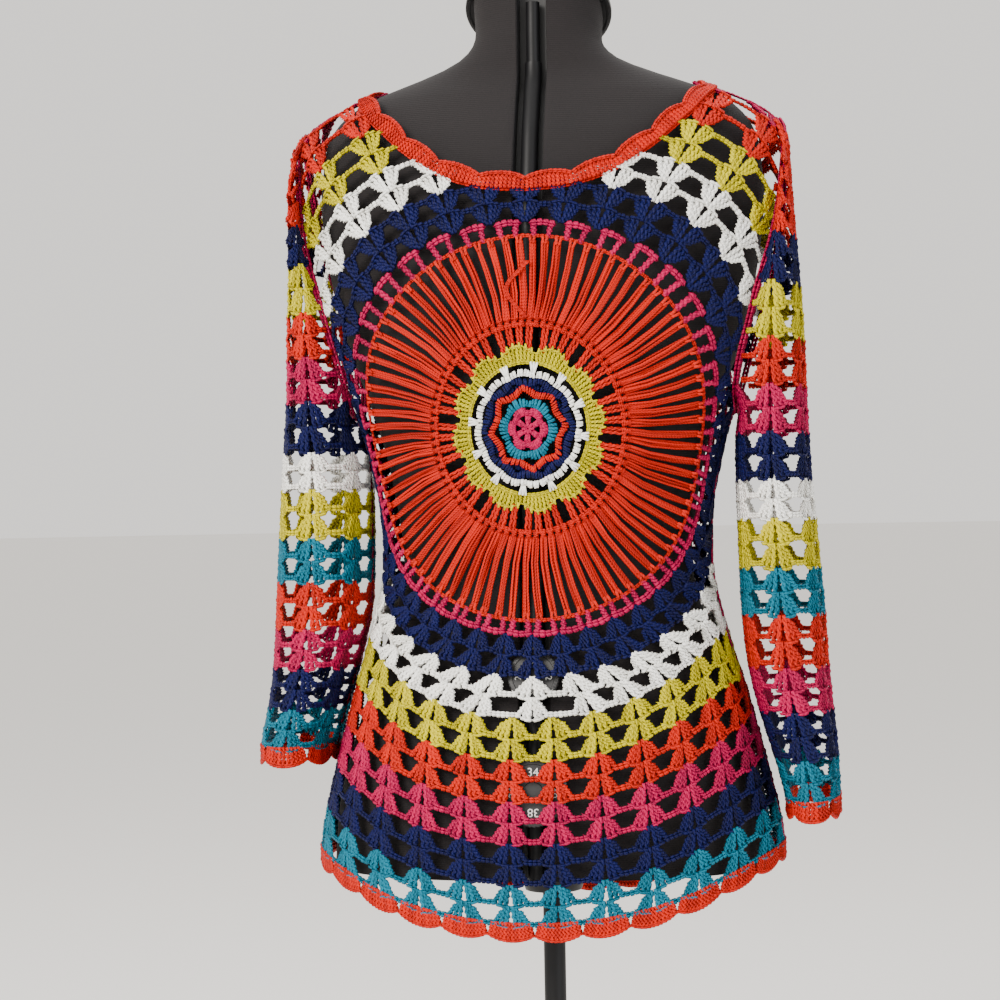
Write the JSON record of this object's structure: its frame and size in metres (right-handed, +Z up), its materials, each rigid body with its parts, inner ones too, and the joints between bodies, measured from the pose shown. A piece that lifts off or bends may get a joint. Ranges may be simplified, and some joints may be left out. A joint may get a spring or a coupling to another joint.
{
  "type": "crochet top on dress form",
  "caption": "Long-sleeved crochet lace top in bright bands with a round medallion on its back and its front, worn on a limbless dress form on a round-based stand.",
  "frame": {"origin": "centre of the base's underside, on the pole's axis, on the floor", "axes": "+X to the right seen from behind the wearer, -Y the wearer's back, +Z up the pole"},
  "size_m": [0.4494, 0.32, 1.113],
  "materials": {
    "orange_cotton": "matte",
    "navy_cotton": "matte",
    "charcoal_knit_cover": "matte",
    "black_plastic": "satin",
    "black_painted_steel": "satin"
  },
  "bodies": {
    "root": {"back_panel": "navy_cotton", "front_panel": "navy_cotton", "left_sleeve_back_arm": "navy_cotton", "left_sleeve_back_cap": "navy_cotton", "left_sleeve_front_arm": "navy_cotton", "left_sleeve_front_cap": "navy_cotton", "right_sleeve_back_arm": "navy_cotton", "right_sleeve_back_cap": "navy_cotton", "right_sleeve_front_arm": "navy_cotton", "right_sleeve_front_cap": "navy_cotton", "left_cuff_edging": "orange_cotton", "right_cuff_edging": "orange_cotton", "neckband": "orange_cotton", "hem_edging": "orange_cotton", "dress_form": "charcoal_knit_cover", "slot_rail": "black_painted_steel", "waist_dial": "black_plastic", "hip_dial": "black_plastic", "neck_cap": "black_plastic", "base": "black_painted_steel", "pole_hub": "black_painted_steel", "pole": "black_painted_steel", "form_collar": "black_painted_steel"}
  },
  "joints": []
}
